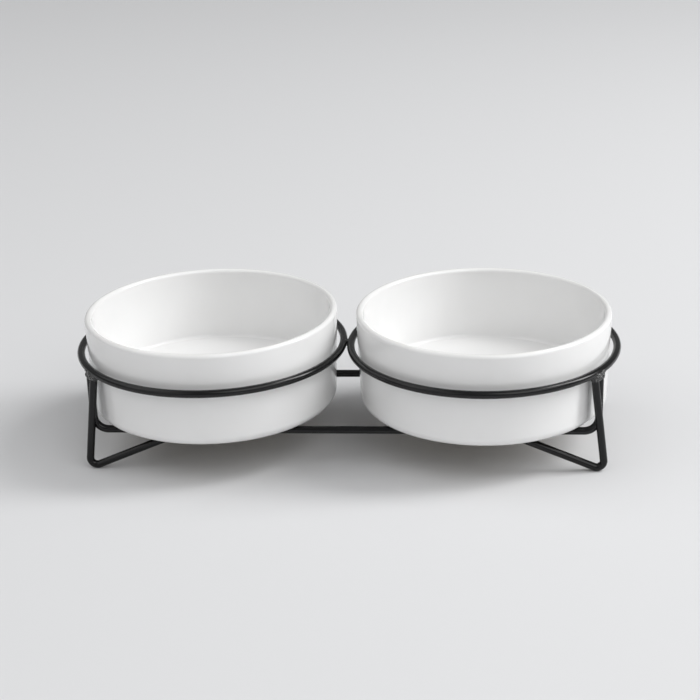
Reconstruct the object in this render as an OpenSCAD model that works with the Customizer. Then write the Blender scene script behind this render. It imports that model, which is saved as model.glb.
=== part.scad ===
// Raised feeder stand: two glazed bowls held in a welded frame of round coated wire.
// Sizes are in millimetres. X runs from the left bowl to the right bowl, -Y is the front
// and Z is up. The origin is on the floor, midway between the four feet.

/* [Bowls] */
// Outer diameter of a bowl at its rim
bowl_d = 153; // [130:0.5:180]
// How much further in the wall is at the bottom corner than at the rim
bowl_taper = 1.7; // [0:0.1:4]
// Height of a bowl from its foot to its rim
bowl_h = 57.9; // [50:0.1:80]
// Thickness of the wall, which ends in a full round lip
bowl_wall = 4.2; // [3:0.1:6]
// Radius between the inside wall and the floor
bowl_fillet = 2; // [1:0.5:14]
// Radius of the outer bottom corner
bowl_corner = 6; // [4:0.5:12]
// Thickness of the raised floor
bowl_floor = 4.6; // [4:0.1:9]
// Width of the flat foot ring
foot_ring_w = 3; // [2.5:0.1:8]
// Height of the hollow under the floor
hollow_h = 7.8; // [6:0.1:16]
// Radius between the hollow's top and its sides
hollow_fillet = 5; // [1:0.5:6]

/* [Wire frame] */
// Diameter of the coated wire
wire_d = 4.6; // [3.6:0.1:5.4]
// Height of the rings' middle above the floor
ring_height = 62; // [54:0.5:75]
// Height of the rails' middle above the floor
rail_height = 23.5; // [18:0.1:30]
// Distance from the middle of the front rail to the middle of the rear rail
rail_spread = 86.8; // [70:0.2:100]
// Radius of the rails' corners, at the middle of the wire
rail_bend = 8.5; // [4:0.5:14]
// How far each foot stands outside the top of its leg
foot_splay = 2.5; // [0:0.1:8]
// Radius of the bend at the foot, at the middle of the wire
foot_bend = 4; // [3:0.5:8]
// How far the brace runs inwards from its foot
brace_reach = 51.4; // [40:0.2:65]

/* [Clearances] */
// Gap all round between a bowl's rim and the inside of its ring
ring_clearance = 1.2; // [0.8:0.1:4]
// Gap between a bowl's foot and the rails that carry it
seat_gap = 0.3; // [0.2:0.05:0.6]
// Gap between two wires that lie side by side and are welded
weld_gap = 0.1; // [0.05:0.05:0.3]

/* [Welds] */
// How far a weld bead swells past the wire
weld_swell = 0.7; // [0.4:0.1:1.2]
// Length of the bead between a brace and its rail
weld_run = 6; // [3:0.5:9]

/* [Hidden] */
$fn = 96;
glaze = "white";
coat = [0.11, 0.11, 0.12];
left = -1;
right = 1;
front = -1;
rear = 1;

// Joints of straight wire and bend: both stop short, in a ball a hair larger than the wire
joint_inset = 0.1;
joint_swell = 0.02;

// Frame: each ring clears its bowl, and the two rings lie side by side
wire_r = wire_d / 2;
ring_r = bowl_d / 2 + ring_clearance + wire_r;
bowl_x = ring_r + wire_r + weld_gap / 2;
ring_under = ring_height - wire_r;

// Rails and feet: the rails run under the rings, the feet one wire further out
rail_y = rail_spread / 2;
foot_y = rail_y + wire_d + weld_gap;
upright_x = bowl_x + sqrt(ring_r * ring_r - rail_y * rail_y);
leg_x = bowl_x + sqrt(ring_r * ring_r - foot_y * foot_y);
foot_x = leg_x + foot_splay;

// Outline of a foot in its own upright plane, as points of X and Z
foot_centre = [foot_x, wire_r + foot_bend];
leg_lean = atan2(foot_splay + foot_bend, ring_under - foot_centre.y);
leg_top = [leg_x, ring_under - weld_gap - wire_r * sin(leg_lean)];
brace_end = [foot_x - brace_reach, rail_height - weld_gap];
leg_angle = tangent_angle(foot_centre, foot_bend, leg_top, -1);
brace_angle = tangent_angle(foot_centre, foot_bend, brace_end, 1) - 360;

// Half section of a bowl: the outer wall touches the bottom corner and the lip
bowl_base = rail_height + wire_r + seat_gap;
lip_r = bowl_wall / 2;
lip_centre = [bowl_d / 2 - lip_r, bowl_base + bowl_h - lip_r];
corner_centre = [bowl_d / 2 - bowl_taper - bowl_corner, bowl_base + bowl_corner];
wall_angle = shared_tangent(corner_centre, bowl_corner, lip_centre, lip_r);
wall_out = [cos(wall_angle), sin(wall_angle)];
hollow_r = corner_centre.x - foot_ring_w;
hollow_top = bowl_base + hollow_h;
floor_z = hollow_top + bowl_floor;
fillet_z = floor_z + bowl_fillet;
inner_reach = lip_centre * wall_out - lip_r - bowl_fillet;
fillet_centre = [(inner_reach - fillet_z * wall_out.y) / wall_out.x, fillet_z];

// Angle, seen from the centre of a circle, at which a line from a point outside touches it
function tangent_angle(centre, radius, point, turn) =
    let (reach = point - centre)
    atan2(reach.y, reach.x) + turn * acos(radius / norm(reach));

// Angle of the normal of the line that touches two circles on their outer side
function shared_tangent(low, low_radius, high, high_radius) =
    let (reach = high - low)
    atan2(reach.y, reach.x) - acos((low_radius - high_radius) / norm(reach));

function along(centre, radius, angle) = centre + radius * [cos(angle), sin(angle)];

// Points of an arc, from one angle to another
function arc(centre, radius, from, to, steps = 12) =
    [for (i = [0:steps]) along(centre, radius, from + (to - from) * i / steps)];

// Straight wire between two points of X and Z, shortened at the ends that meet a bend
module straight(from, to, from_joint = 0, to_joint = 0) {
    reach = to - from;
    translate([from.x, 0, from.y])
        rotate([0, atan2(reach.x, reach.y), 0])
            translate([0, 0, from_joint])
                cylinder(d = wire_d, h = norm(reach) - from_joint - to_joint);
}

// Bent wire round a centre in the plane of X and Z, with a ball at each end that joins it on
module bend(centre, radius, from, to) {
    joint_angle = joint_inset / radius * 180 / PI;
    translate([centre.x, 0, centre.y])
        rotate([90, 0, 0])
            rotate([0, 0, from + joint_angle])
                rotate_extrude(angle = to - from - 2 * joint_angle)
                    translate([radius, 0])
                        circle(d = wire_d);
    for (angle = [from, to]) {
        end = along(centre, radius, angle);
        translate([end.x, 0, end.y])
            rotate([0, -angle, 0])
                sphere(r = wire_r + joint_swell);
    }
}

// Half section of a bowl, from the foot ring up the outside, over the lip and down the inside
module bowl_section() {
    hollow_centre = [hollow_r - hollow_fillet, hollow_top - hollow_fillet];
    polygon(concat(
        [[hollow_r, bowl_base]],
        arc(corner_centre, bowl_corner, -90, wall_angle),
        arc(lip_centre, lip_r, wall_angle, wall_angle + 180),
        arc(fillet_centre, bowl_fillet, wall_angle, -90),
        [[0, floor_z], [0, hollow_top]],
        arc(hollow_centre, hollow_fillet, 90, 0)
    ));
}

module bowl(side) {
    color(glaze)
        translate([side * bowl_x, 0, 0])
            rotate_extrude()
                bowl_section();
}

module ring(side) {
    color(coat)
        translate([side * bowl_x, 0, ring_height])
            rotate_extrude()
                translate([ring_r, 0])
                    circle(d = wire_d);
}

module rail(face) {
    run = upright_x - rail_bend;
    corner = [run, rail_height + rail_bend];
    color(coat)
        translate([0, face * rail_y, 0]) {
            straight([-run, rail_height], [run, rail_height], joint_inset, joint_inset);
            for (flip = [0, 1])
                mirror([flip, 0, 0]) {
                    bend(corner, rail_bend, -90, 0);
                    straight([upright_x, corner.y], [upright_x, ring_under - weld_gap], joint_inset);
                }
        }
}

// One wire bent at the floor: a leg up to the ring, and a brace up to the rail
module foot(face, side) {
    color(coat)
        translate([0, face * foot_y, 0])
            mirror([side == left ? 1 : 0, 0, 0]) {
                straight(along(foot_centre, foot_bend, leg_angle), leg_top, joint_inset);
                bend(foot_centre, foot_bend, brace_angle, leg_angle);
                straight(along(foot_centre, foot_bend, brace_angle), brace_end, joint_inset);
            }
}

module centre_weld() {
    color(coat)
        translate([0, 0, ring_height])
            sphere(r = wire_r - weld_gap);
}

// One lump over the top of an upright and the top of the leg beside it, full in between
module ring_weld(face, side) {
    first = [side * upright_x, face * rail_y];
    reach = [side * leg_x, face * foot_y] - first;
    color(coat)
        for (share = [0, 0.5, 1])
            translate([first.x + share * reach.x, first.y + share * reach.y, ring_under - weld_swell])
                rotate([0, 90, atan2(reach.y, reach.x)])
                    sphere(r = wire_r + weld_swell);
}

// Bead in the groove under a brace and the rail beside it
module brace_weld(face, side) {
    bead_r = wire_r - weld_gap;
    half_run = weld_run / 2 - bead_r / 2;
    color(coat)
        translate([side * (brace_end.x + weld_run / 2), face * (rail_y + foot_y) / 2, rail_height - wire_r])
            rotate([0, 90, 0]) {
                cylinder(r = bead_r, h = 2 * half_run, center = true);
                for (end = [-1, 1])
                    translate([0, 0, end * half_run])
                        sphere(r = bead_r);
            }
}

module left_bowl() { bowl(left); }
module right_bowl() { bowl(right); }
module left_ring() { ring(left); }
module right_ring() { ring(right); }
module front_rail() { rail(front); }
module rear_rail() { rail(rear); }
module front_left_foot() { foot(front, left); }
module front_right_foot() { foot(front, right); }
module rear_left_foot() { foot(rear, left); }
module rear_right_foot() { foot(rear, right); }
module front_left_weld() { ring_weld(front, left); }
module front_right_weld() { ring_weld(front, right); }
module rear_left_weld() { ring_weld(rear, left); }
module rear_right_weld() { ring_weld(rear, right); }
module front_left_brace_weld() { brace_weld(front, left); }
module front_right_brace_weld() { brace_weld(front, right); }
module rear_left_brace_weld() { brace_weld(rear, left); }
module rear_right_brace_weld() { brace_weld(rear, right); }

left_bowl();
right_bowl();
left_ring();
right_ring();
front_rail();
rear_rail();
front_left_foot();
front_right_foot();
rear_left_foot();
rear_right_foot();
centre_weld();
front_left_weld();
front_right_weld();
rear_left_weld();
rear_right_weld();
front_left_brace_weld();
front_right_brace_weld();
rear_left_brace_weld();
rear_right_brace_weld();
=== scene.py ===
import math

import bmesh
import bpy
from mathutils import Matrix, Vector, noise


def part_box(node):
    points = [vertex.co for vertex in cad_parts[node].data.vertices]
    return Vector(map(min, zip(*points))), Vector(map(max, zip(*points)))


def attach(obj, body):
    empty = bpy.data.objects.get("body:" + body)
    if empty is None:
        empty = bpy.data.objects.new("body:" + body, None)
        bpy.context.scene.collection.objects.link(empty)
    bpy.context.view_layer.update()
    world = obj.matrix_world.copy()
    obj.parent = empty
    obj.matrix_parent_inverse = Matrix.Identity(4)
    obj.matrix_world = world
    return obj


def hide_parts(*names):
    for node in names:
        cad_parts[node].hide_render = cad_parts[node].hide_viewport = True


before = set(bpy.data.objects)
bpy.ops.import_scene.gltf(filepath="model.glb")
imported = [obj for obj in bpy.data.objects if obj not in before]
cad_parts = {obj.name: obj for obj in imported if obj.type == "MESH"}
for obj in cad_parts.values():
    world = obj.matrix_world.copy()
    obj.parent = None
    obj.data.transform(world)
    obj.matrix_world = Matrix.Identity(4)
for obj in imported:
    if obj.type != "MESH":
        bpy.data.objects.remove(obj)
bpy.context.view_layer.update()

mm = 0.001
scene = bpy.context.scene
print("frame loaded:", len(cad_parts), "solids")


# Shader maths

class Socket:  # an output socket that takes part in plain expressions
    def __init__(self, out):
        self.out = out

    def node(self, kind, settings=None, sockets=None, output=0):
        made = self.out.id_data.nodes.new(kind)
        for name, value in (settings or {}).items():
            setattr(made, name, value)
        for name, value in (sockets or {}).items():
            feed(made.inputs[name], value)
        return Socket(made.outputs[output])

    def maths(self, operation, first, second=0.0):
        return self.node("ShaderNodeMath", {"operation": operation}, {0: first, 1: second})

    def __add__(self, other):
        return self.maths("ADD", self, other)

    def __radd__(self, other):
        return self.maths("ADD", other, self)

    def __sub__(self, other):
        return self.maths("SUBTRACT", self, other)

    def __rsub__(self, other):
        return self.maths("SUBTRACT", other, self)

    def __mul__(self, other):
        return self.maths("MULTIPLY", self, other)

    def __rmul__(self, other):
        return self.maths("MULTIPLY", other, self)

    def ramp(self, low, high):  # 0 below low and 1 above high, eased in between
        return self.node(
            "ShaderNodeMapRange",
            {"interpolation_type": "SMOOTHSTEP"},
            {"Value": self, "From Min": low, "From Max": high},
        )

    def grain(self, size, detail=2.0):  # soft noise with lumps of that size in metres
        return self.node(
            "ShaderNodeTexNoise", {}, {"Vector": self, "Scale": 1 / size, "Detail": detail}
        )

    def tint(self, first, second):  # from the first colour at 0 to the second at 1
        return self.node("ShaderNodeMix", {"data_type": "RGBA"}, {0: self, 6: first, 7: second}, 2)

    def raised(self, depth, under=None):  # this height pattern as a bump, over another bump
        sockets = {"Height": self, "Distance": depth}
        if under:
            sockets["Normal"] = under
        return self.node("ShaderNodeBump", {}, sockets)


def feed(socket, value):
    if isinstance(value, Socket):
        value.out.id_data.links.new(value.out, socket)
    else:
        socket.default_value = value


def newFinish(name):
    material = bpy.data.materials.new(name)
    material.use_nodes = True
    shader = material.node_tree.nodes["Principled BSDF"]
    place = Socket(material.node_tree.nodes.new("ShaderNodeTexCoord").outputs["Object"])
    return material, shader, place


def setFinish(shader, **sockets):
    for name, value in sockets.items():
        feed(shader.inputs[name.replace("_", " ")], value)


# Mesh helpers

def roundCorners(corners, radii, steps):
    # each inner corner becomes an arc of its own radius
    line = [corners[0]]
    for before, corner, after, radius in zip(corners, corners[1:], corners[2:], radii):
        back = (before - corner).normalized()
        onward = (after - corner).normalized()
        half = math.acos(max(-1, min(1, back.dot(onward)))) / 2
        middle = corner + (back + onward).normalized() * (radius / math.sin(half))
        first = corner + back * (radius / math.tan(half)) - middle
        last = corner + onward * (radius / math.tan(half)) - middle
        turn = math.pi - 2 * half
        for step in range(steps + 1):
            share = step / steps
            spoke = first * math.sin((1 - share) * turn) + last * math.sin(share * turn)
            line.append(middle + spoke / math.sin(turn))
    return line + [corners[-1]]


def holdStraights(line, hold, longest):
    # straight runs get a point close to each end, and more in between if they are long
    held = []
    for start, end in zip(line, line[1:]):
        held.append(start)
        run = end - start
        if run.length > 4 * hold:
            inner = run.normalized() * hold
            count = max(1, math.ceil((run.length - 2 * hold) / longest))
            for step in range(count + 1):
                held.append(start + inner + (run - 2 * inner) * (step / count))
    return held + [line[-1]]


def meshPiece(name, shape, material):
    bmesh.ops.recalc_face_normals(shape, faces=shape.faces)
    mesh = bpy.data.meshes.new(name)
    shape.to_mesh(mesh)
    shape.free()
    mesh.shade_smooth()
    mesh.materials.append(material)
    piece = bpy.data.objects.new(name, mesh)
    scene.collection.objects.link(piece)
    return piece


def placePiece(piece, body, slot, *nodes):
    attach(piece, body)
    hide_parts(*nodes)


def skinRings(shape, rings, closed=False):
    # quads between rings of points, or triangles where a ring is one point
    pairs = list(zip(rings, rings[1:])) + ([(rings[-1], rings[0])] if closed else [])
    for low, high in pairs:
        count = max(len(low), len(high))
        for i in range(count):
            corners = [low[i % len(low)], low[(i + 1) % len(low)]]
            corners += [high[(i + 1) % len(high)], high[i % len(high)]]
            shape.faces.new(list(dict.fromkeys(corners)))  # each point once


# Bowls

bowl = {
    "wall": 4.2 * mm,
    "taper": 1.7 * mm,  # how far the wall leans in on its way down
    "floor": 4.6 * mm,
    "floorFillet": 2 * mm,
    "lipRound": 0.98,  # share of half the wall
    "corner": 6 * mm,
    "footRing": 3 * mm,
    "hollow": 7.8 * mm,
    "hollowFillet": 5 * mm,
    "footEdge": 0.8 * mm,
    "turns": 240,
    "arcSteps": 14,
    "hold": 0.3 * mm,  # from the ends of a straight run to its next points
    "longestRun": 4 * mm,
    "white": (0.845, 0.845, 0.842, 1),
    "thinGlaze": (0.815, 0.81, 0.797, 1),
    "thinShare": 0.7,  # how thin the glaze gets in patches on the rim
    "thinPatches": (0.35, 0.65),
    "rimBand": 1.4 * mm,
    "roughness": 0.03,
    "refraction": 1.52,
    "waveSize": 30 * mm,
    "waveDepth": 0.12 * mm,
    "waveRoughness": 0.06,
    "peelSize": 2.2 * mm,
    "peelDepth": 0.012 * mm,
    "paleClay": (0.52, 0.48, 0.42, 1),
    "darkClay": (0.4472, 0.4128, 0.3612, 1),
    "clayRoughness": 0.7,
    "sandSize": 0.35 * mm,
    "sandDetail": 4.0,
    "sandTones": (0.3, 0.7),
    "sandDepth": 0.08 * mm,
    "glazeLine": 0.8 * mm,  # height of the bare foot
    "glazeWander": 0.5 * mm,
    "glazeFade": 0.25 * mm,
    "hollowFade": 2 * mm,
    "hollowMargin": 0.1 * mm,
}
bowlLow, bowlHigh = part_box("left_bowl")
bowlX = (bowlLow.x + bowlHigh.x) / 2  # middle of the left bowl
bowlHeight = bowlHigh.z - bowlLow.z
bowlRadius = (bowlHigh.x - bowlLow.x) / 2
hollowRadius = bowlRadius - bowl["taper"] - bowl["corner"] - bowl["footRing"]


def bowlOutline(radius, height):
    # half section from the inside floor over the lip to the hollow under the floor
    hollowZ = bowl["hollow"]
    floorZ = hollowZ + bowl["floor"]
    lean = bowl["taper"] / (height - bowl["corner"])  # sideways per height
    outerLow = radius - lean * height
    innerLow = radius - bowl["wall"] - lean * (height - floorZ)
    lip = bowl["wall"] / 2 * bowl["lipRound"]
    corners = [(0, floorZ), (innerLow, floorZ), (radius - bowl["wall"], height), (radius, height)]
    corners += [(outerLow, 0), (hollowRadius, 0), (hollowRadius, hollowZ), (0, hollowZ)]
    radii = [bowl["floorFillet"], lip, lip, bowl["corner"], bowl["footEdge"], bowl["hollowFillet"]]
    line = roundCorners([Vector(point) for point in corners], radii, bowl["arcSteps"])
    return holdStraights(line, bowl["hold"], bowl["longestRun"])


def glazeFinish():
    material, shader, place = newFinish("whiteGlaze")
    across, along, height = (place.node("ShaderNodeSeparateXYZ", {}, {0: place}, k) for k in range(3))
    height = height - bowlLow.z
    across = place.maths("ABSOLUTE", across) + bowlX  # both bowls about one middle
    reach = place.maths("SQRT", across * across + along * along)
    waves = place.grain(bowl["waveSize"])
    peel = place.grain(bowl["peelSize"])
    sand = place.grain(bowl["sandSize"], bowl["sandDetail"])
    # bare clay below an uneven line on the foot, and in the hollow under the floor
    glazeEnd = bowl["glazeLine"]
    foot = 1 - (height + waves * bowl["glazeWander"]).ramp(glazeEnd, glazeEnd + bowl["glazeFade"])
    inFootRing = 1 - reach.ramp(hollowRadius, hollowRadius + bowl["hollowMargin"])
    underFloor = 1 - height.ramp(bowl["hollow"], bowl["hollow"] + bowl["hollowFade"])
    bare = place.maths("MAXIMUM", foot, inFootRing * underFloor)
    clay = sand.ramp(*bowl["sandTones"]).tint(bowl["paleClay"], bowl["darkClay"])
    # the glaze runs thin in patches along the rim
    rim = height.ramp(bowlHeight - bowl["rimBand"], bowlHeight)
    thin = rim * waves.ramp(*bowl["thinPatches"]) * bowl["thinShare"]
    glaze = thin.tint(bowl["white"], bowl["thinGlaze"])
    relief = peel.raised(bowl["peelDepth"], waves.raised(bowl["waveDepth"]))
    setFinish(
        shader,
        Base_Color=bare.tint(glaze, clay),
        Roughness=bowl["roughness"] + waves * bowl["waveRoughness"] + bare * bowl["clayRoughness"],
        Normal=(sand * bare).raised(bowl["sandDepth"], relief),
        IOR=bowl["refraction"],
    )
    return material


def buildBowl(node):
    low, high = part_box(node)
    seat = Vector(((low.x + high.x) / 2, (low.y + high.y) / 2, low.z))
    shape = bmesh.new()
    rings = []
    for radius, z in bowlOutline(bowlRadius, bowlHeight):
        ring = []
        for i in range(bowl["turns"] if radius > 1e-6 else 1):  # one point on the axis
            angle = 2 * math.pi * i / bowl["turns"]
            spoke = Vector((radius * math.cos(angle), radius * math.sin(angle), z))
            ring.append(shape.verts.new(seat + spoke))
        rings.append(ring)
    skinRings(shape, rings)
    piece = meshPiece(node + "_glazed", shape, whiteGlaze)
    placePiece(piece, node, "glaze", node)


whiteGlaze = glazeFinish()
for node in ("left_bowl", "right_bowl"):
    buildBowl(node)
print("bowls turned")


# Wire frame

ringLow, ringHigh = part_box("left_ring")
railLow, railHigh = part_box("front_rail")
footLow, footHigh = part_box("front_left_foot")
wire = {
    "radius": (ringHigh.z - ringLow.z) / 2,
    "sides": 28,
    "endRound": 0.5 * mm,
    "endSteps": 4,
    "ringSteps": 220,
    "railBend": 8.5 * mm,
    "footBend": 4 * mm,
    "footSplay": 2.5 * mm,
    "legEdge": 0.25 * mm,  # how far the slanting leg's cut edge stands over its middle
    "braceReach": 51.4 * mm,
    "bendSteps": 18,
    "hold": 0.6 * mm,
    "longestRun": 6 * mm,
    "black": (0.0030, 0.0030, 0.0034, 1),
    "worn": (0.0070, 0.0070, 0.0074, 1),
    "steel": (0.42, 0.42, 0.41, 1),
    "patchSize": 14 * mm,
    "patchWear": (0.4, 0.75),
    "patchShare": 0.5,
    "patchRoughness": 0.08,
    "peelSize": 1.1 * mm,
    "dustSize": 0.25 * mm,
    "dustDetail": 3.0,
    "dustWear": (0.6, 0.8),
    "dustShare": 0.3,
    "dustRoughness": 0.05,
    "dustBump": 0.3,  # share of the coat's own bump
    "speckSize": 0.9 * mm,
    "speckEdges": (0.54, 0.64),
    "coat": {"bump": 0.012 * mm, "roughness": 0.13, "gloss": 0.36, "bareSteel": 0.0},
}
ringX = (ringLow.x + ringHigh.x) / 2  # middle of the left ring
ringZ = (ringLow.z + ringHigh.z) / 2
ringRadius = (ringHigh.x - ringLow.x) / 2 - wire["radius"]
railY = (railLow.y + railHigh.y) / 2
railZ = railLow.z + wire["radius"]
railTop = railHigh.z
footY = (footLow.y + footHigh.y) / 2


def coatFinish(name, coat):
    # black powder coat, with steel in its thin specks where the coat has any
    material, shader, place = newFinish(name)
    patches = place.grain(wire["patchSize"])
    peel = place.grain(wire["peelSize"])
    dust = place.grain(wire["dustSize"], wire["dustDetail"])
    wear = patches.ramp(*wire["patchWear"]) * wire["patchShare"]
    wear = wear + dust.ramp(*wire["dustWear"]) * wire["dustShare"]
    shade = wear.tint(wire["black"], wire["worn"])
    if coat["bareSteel"]:
        specks = place.grain(wire["speckSize"]).ramp(*wire["speckEdges"]) * coat["bareSteel"]
        shade = specks.tint(shade, wire["steel"])
        setFinish(shader, Metallic=specks)
    setFinish(
        shader,
        Base_Color=shade,
        Roughness=coat["roughness"] + patches * wire["patchRoughness"] + dust * wire["dustRoughness"],
        Normal=dust.raised(coat["bump"] * wire["dustBump"], peel.raised(coat["bump"])),
        Specular_IOR_Level=coat["gloss"],
    )
    return material


def roundedEnd(way):
    # a cut end of wire: its edge is eased by the coat
    edge = wire["endRound"]
    stations = []
    for k in range(wire["endSteps"] + 1):
        angle = math.pi / 2 * k / wire["endSteps"]
        shift = way * edge * (math.sin(angle) - 1)
        stations.append((shift, wire["radius"] - edge * (1 - math.cos(angle))))
    return stations if way > 0 else stations[::-1]


def tube(name, path, closed=False):
    # round wire along a path, its rings carried on without twist
    count = len(path)
    angles = [2 * math.pi * k / wire["sides"] for k in range(wire["sides"])]
    shape = bmesh.new()
    rings = []
    side = None
    for i, point in enumerate(path):
        before = path[i - 1] if i or closed else point
        after = path[(i + 1) % count] if i + 1 < count or closed else point
        along = (after - before).normalized()
        if side is None:
            side = along.orthogonal()
        side = (side - along * side.dot(along)).normalized()
        cross = along.cross(side)
        stations = [(0, wire["radius"])]
        if not closed and i in (0, count - 1):
            stations = roundedEnd(-1 if i == 0 else 1)
        for shift, radius in stations:
            middle = point + along * shift
            ring = []
            for angle in angles:
                spot = middle + side * (radius * math.cos(angle)) + cross * (radius * math.sin(angle))
                ring.append(shape.verts.new(spot))
            rings.append(ring)
    skinRings(shape, rings, closed)
    if not closed:
        for ring in (rings[0], rings[-1]):
            shape.faces.new(ring)
    return meshPiece(name, shape, blackCoat)


def underRing(y):
    # how far out a wire stands that meets the ring from below
    return -ringX + math.sqrt(ringRadius**2 - y**2)


def ringPath(middleX):
    middle = Vector((middleX, 0, ringZ))
    path = []
    for k in range(wire["ringSteps"]):
        angle = 2 * math.pi * k / wire["ringSteps"]
        path.append(middle + ringRadius * Vector((math.cos(angle), math.sin(angle), 0)))
    return path


def railPath(node):
    low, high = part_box(node)
    y = (low.y + high.y) / 2
    reach = underRing(y)
    turns = ((-reach, railTop), (-reach, railZ), (reach, railZ), (reach, railTop))
    corners = [Vector((x, y, z)) for x, z in turns]
    path = roundCorners(corners, [wire["railBend"]] * 2, wire["bendSteps"])
    return holdStraights(path, wire["hold"], wire["longestRun"])


def touchAngle(centre, radius, point, turn):
    # angle at which a line from the point touches the circle
    reach = point - centre
    return math.atan2(reach.y, reach.x) + turn * math.acos(radius / reach.length)


def footPath(node):
    # down the leg, round the bend on the floor and up the brace to the rail
    low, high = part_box(node)
    y = (low.y + high.y) / 2
    way = 1 if low.x + high.x > 0 else -1
    legX = underRing(y)
    bend = wire["footBend"]
    centre = Vector((legX + wire["footSplay"], wire["radius"] + bend))
    legTop = Vector((legX, high.z - wire["legEdge"]))
    braceEnd = Vector((centre.x - wire["braceReach"], railZ))
    first = touchAngle(centre, bend, legTop, -1)
    last = touchAngle(centre, bend, braceEnd, 1) - 2 * math.pi
    line = [legTop]
    for k in range(wire["bendSteps"] + 1):
        angle = first + (last - first) * k / wire["bendSteps"]
        line.append(centre + bend * Vector((math.cos(angle), math.sin(angle))))
    line = holdStraights(line + [braceEnd], wire["hold"], wire["longestRun"])
    return [Vector((way * x, y, z)) for x, z in line]


blackCoat = coatFinish("blackCoat", wire["coat"])
feet = [f"{face}_{side}_foot" for face in ("front", "rear") for side in ("left", "right")]
for node, middleX in (("left_ring", ringX), ("right_ring", -ringX)):
    placePiece(tube(node + "_wire", ringPath(middleX), True), "stand", "coated_wire", node)
for node in ("front_rail", "rear_rail"):
    placePiece(tube(node + "_wire", railPath(node)), "stand", "coated_wire", node)
for node in feet:
    placePiece(tube(node + "_wire", footPath(node)), "stand", "coated_wire", node)
print("wires bent: 2 rings, 2 rails,", len(feet), "feet")


# Welds

weld = {
    "dropDetail": 3,
    "voxel": 0.25 * mm,
    "smoothing": 5,
    "lump": 0.4 * mm,
    "lumpSize": 1.5 * mm,
    "coat": {"bump": 0.06 * mm, "roughness": 0.10, "gloss": 0.7, "bareSteel": 0.5},
    "splashReach": 0.75,  # of the wire's radius, from its middle
    # splashes on the ring's outer face: share of the way from upright to leg, tilt, size
    "splashes": (
        (-0.45, -38, 1.0), (-0.1, -14, 1.2), (0.25, -24, 1.5), (0.55, -10, 1.3),
        (0.85, -26, 1.5), (1.1, -12, 1.1), (1.5, -36, 1.0),
    ),
}
lumpyCoat = coatFinish("lumpyCoat", weld["coat"])


def weldPiece(name, drops):
    # drops of metal melted into one skin, then made uneven
    shape = bmesh.new()
    for centre, radius in drops:
        spot = Matrix.Translation(centre)
        bmesh.ops.create_icosphere(shape, subdivisions=weld["dropDetail"], radius=radius, matrix=spot)
    drop = meshPiece(name + "_bead", shape, lumpyCoat)
    melt = drop.modifiers.new("melt", "REMESH")
    melt.mode = "VOXEL"
    melt.voxel_size = weld["voxel"]
    ease = drop.modifiers.new("ease", "SMOOTH")
    ease.iterations = weld["smoothing"]
    melted = bpy.data.meshes.new_from_object(drop.evaluated_get(bpy.context.evaluated_depsgraph_get()))
    drop.modifiers.clear()
    drop.data = melted
    for vertex in melted.vertices:
        vertex.co += vertex.normal * weld["lump"] * noise.noise(vertex.co / weld["lumpSize"])
    melted.shade_smooth()
    return drop


def straightDrops(middle, radius, length):
    run = length / 2 - radius
    return [(middle + Vector((run * k, 0, 0)), radius) for k in (-1, 0, 1)]


def ringDrops(middle, radius):
    # a lump over upright and leg, and splashes that fan out onto the ring
    centre = Vector((math.copysign(ringX, middle.x), 0, ringZ))
    upright, leg = (math.asin(abs(y) / ringRadius) for y in (railY, footY))

    def outward(share):
        angle = upright + (leg - upright) * share
        x = math.copysign(math.cos(angle), middle.x)
        y = math.copysign(math.sin(angle), middle.y)
        return Vector((x, y, 0))

    drops = []
    for share in (0, 0.5, 1):  # on the upright, between the two, on the leg
        spot = centre + outward(share) * ringRadius
        drops.append((Vector((spot.x, spot.y, middle.z)), radius))
    reach = wire["radius"] * weld["splashReach"]
    for share, tilt, size in weld["splashes"]:
        slant = math.radians(tilt)
        lift = Vector((0, 0, reach * math.sin(slant)))
        spot = centre + outward(share) * (ringRadius + reach * math.cos(slant)) + lift
        drops.append((spot, size * mm))
    return drops


for node in [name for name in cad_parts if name.endswith("_weld")]:
    low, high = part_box(node)
    middle = (low + high) / 2
    radius = (high.z - low.z) / 2
    if "brace" in node or node == "centre_weld":
        drops = straightDrops(middle, radius, high.x - low.x)
    else:
        drops = ringDrops(middle, radius)
    placePiece(weldPiece(node, drops), "stand", "coated_weld", node)
print("welds laid")


# Floor, light and camera

studio = {
    "paper": (0.716, 0.720, 0.730, 1),
    "paperRoughness": 0.9,
    "paperGloss": 0.2,
    "floorSize": 24.0,
    "horizon": (0.218, 0.219, 0.222, 1),
    "overhead": (0.28, 0.28, 0.28, 1),
    "hazeTop": 0.2,  # how far up the horizon's tone fades out, where straight up is 1
    "lamps": {
        "key": {"place": (2.06, 0.18, 1.74), "width": 0.7, "height": 2.1, "power": 49.0},
        "front": {"place": (3.5, -3.5, 4.96), "width": 6.0, "height": 6.0, "power": 178.0},
        "side": {"place": (-4.5, 0.0, 5.36), "width": 6.0, "height": 6.0, "power": 98.0},
        "fill": {"place": (-4.28, -4.28, 3.5), "width": 6.0, "height": 6.0, "power": 58.0},
    },
}
camera = {
    "lens": 84.72,
    "sensor": 36,
    "distance": 1003.55 * mm,
    "azimuth": 4.74,  # degrees, as the next two
    "elevation": 21.80,
    "roll": -1.72,
    "target": Vector((1.5, 0, 57.01)) * mm,
}


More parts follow.
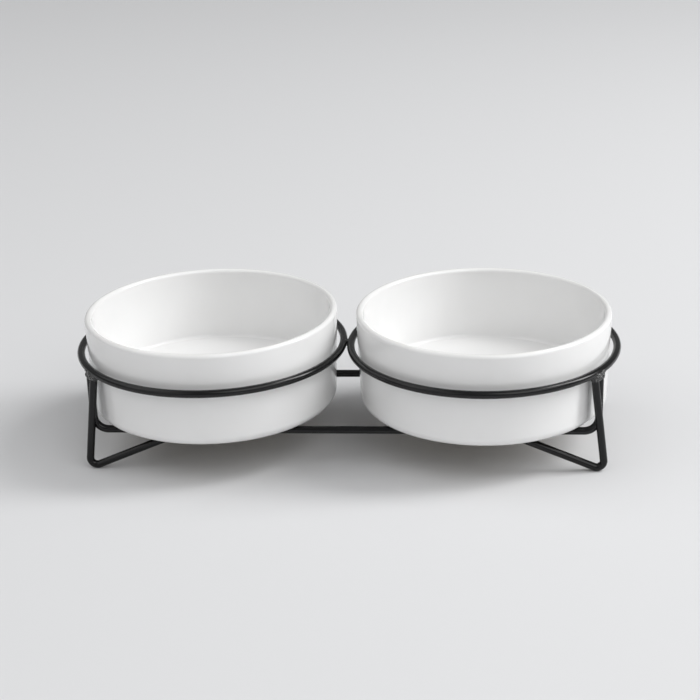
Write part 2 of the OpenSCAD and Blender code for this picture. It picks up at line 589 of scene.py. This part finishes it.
def paperFinish():
    material, shader = newFinish("paleFloor")[:2]
    setFinish(
        shader,
        Base_Color=studio["paper"],
        Roughness=studio["paperRoughness"],
        Specular_IOR_Level=studio["paperGloss"],
    )
    return material


def layFloor():
    shape = bmesh.new()
    bmesh.ops.create_grid(shape, x_segments=1, y_segments=1, size=studio["floorSize"] / 2)
    floor = meshPiece("floor", shape, paperFinish())


def lightStudio():
    world = bpy.data.worlds.new("softRoom")
    world.use_nodes = True
    background = world.node_tree.nodes["Background"]
    way = Socket(world.node_tree.nodes.new("ShaderNodeTexCoord").outputs["Generated"])
    rise = way.node("ShaderNodeSeparateXYZ", {}, {0: way}, 2)
    room = rise.ramp(0.0, studio["hazeTop"]).tint(studio["horizon"], studio["overhead"])
    feed(background.inputs["Color"], room)
    scene.world = world
    for name, lamp in studio["lamps"].items():
        softBox = bpy.data.lights.new(name, "AREA")
        softBox.shape = "RECTANGLE"
        softBox.size = lamp["width"]
        softBox.size_y = lamp["height"]
        softBox.energy = lamp["power"]
        hung = bpy.data.objects.new(name, softBox)
        hung.location = lamp["place"]
        hung.rotation_euler = (camera["target"] - hung.location).to_track_quat("-Z", "Y").to_euler()
        scene.collection.objects.link(hung)


def setCamera():
    azimuth, elevation, roll = (math.radians(camera[name]) for name in ("azimuth", "elevation", "roll"))
    back = Vector((
        math.sin(azimuth) * math.cos(elevation),
        -math.cos(azimuth) * math.cos(elevation),
        math.sin(elevation),
    ))
    level = Vector((math.cos(azimuth), math.sin(azimuth), 0))
    upright = back.cross(level)
    right = level * math.cos(roll) + upright * math.sin(roll)
    up = upright * math.cos(roll) - level * math.sin(roll)
    lens = bpy.data.cameras.new("camera")
    lens.lens = camera["lens"]
    lens.sensor_width = camera["sensor"]
    eye = bpy.data.objects.new("camera", lens)
    turned = Matrix((right, up, back)).transposed().to_4x4()
    eye.matrix_world = Matrix.Translation(camera["target"] + back * camera["distance"]) @ turned
    scene.collection.objects.link(eye)
    scene.camera = eye


layFloor()
lightStudio()
setCamera()
scene.view_settings.view_transform = "Standard"
print("studio lit")
